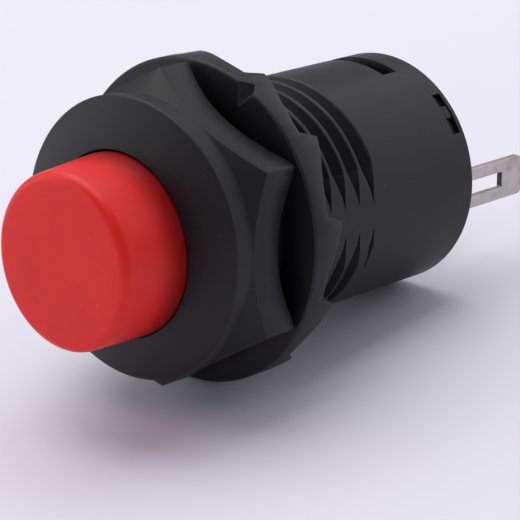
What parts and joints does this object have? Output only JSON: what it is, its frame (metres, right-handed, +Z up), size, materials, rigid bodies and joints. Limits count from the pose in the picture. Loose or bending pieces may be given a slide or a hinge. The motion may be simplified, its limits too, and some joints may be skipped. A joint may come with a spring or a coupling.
{
  "type": "pushbutton switch",
  "caption": "Round panel pushbutton switch with a red cap, a hex front bezel, a toothed lock nut on a threaded neck, and solder lugs.",
  "frame": {"origin": "on the switch's axis, in the plane where the bezel's skirt seats on a panel", "axes": "+Y along the axis from the cap to the solder lugs, +Z up, +X towards the right-hand lug"},
  "size_m": [0.0214, 0.0398, 0.0214],
  "materials": {
    "black_plastic": "satin",
    "red_plastic": "semi-gloss",
    "natural_plastic": "satin",
    "spring_steel": "drawn",
    "tinned_brass": "tin plated",
    "contact_silver": "silver faced"
  },
  "bodies": {
    "housing": {"barrel_housing": "black_plastic", "front_bezel": "black_plastic", "terminal_base": "black_plastic", "solder_lug_right": "tinned_brass", "solder_lug_left": "tinned_brass", "fixed_contact_right": "contact_silver", "fixed_contact_left": "contact_silver", "return_spring": "spring_steel"},
    "button": {"red_cap": "red_plastic", "plunger": "natural_plastic", "bridge_retainer": "spring_steel", "contact_spring": "spring_steel"},
    "bridge": {"contact_bridge": "tinned_brass", "moving_contact_right": "contact_silver", "moving_contact_left": "contact_silver"},
    "nut": {"lock_nut": "black_plastic"}
  },
  "joints": [
    {"name": "button_press", "type": "slide", "parent": "housing", "child": "button", "axis": [0, 1, 0], "range_m": [0, 0.0025], "stiffness_N_per_m": 400, "springref_m": -0.003, "deforming": ["return_spring"]},
    {"name": "bridge_slip", "type": "slide", "parent": "button", "child": "bridge", "axis": [0, 1, 0], "range_m": [-0.0005, 0], "deforming": ["contact_spring"]},
    {"name": "nut_run", "type": "slide", "parent": "housing", "child": "nut", "axis": [0, 1, 0], "range_m": [-0.0002, 0.0065]}
  ],
  "couplings": [
    {"joint": "bridge_slip", "follows": "button_press", "ratio": -0.2}
  ]
}
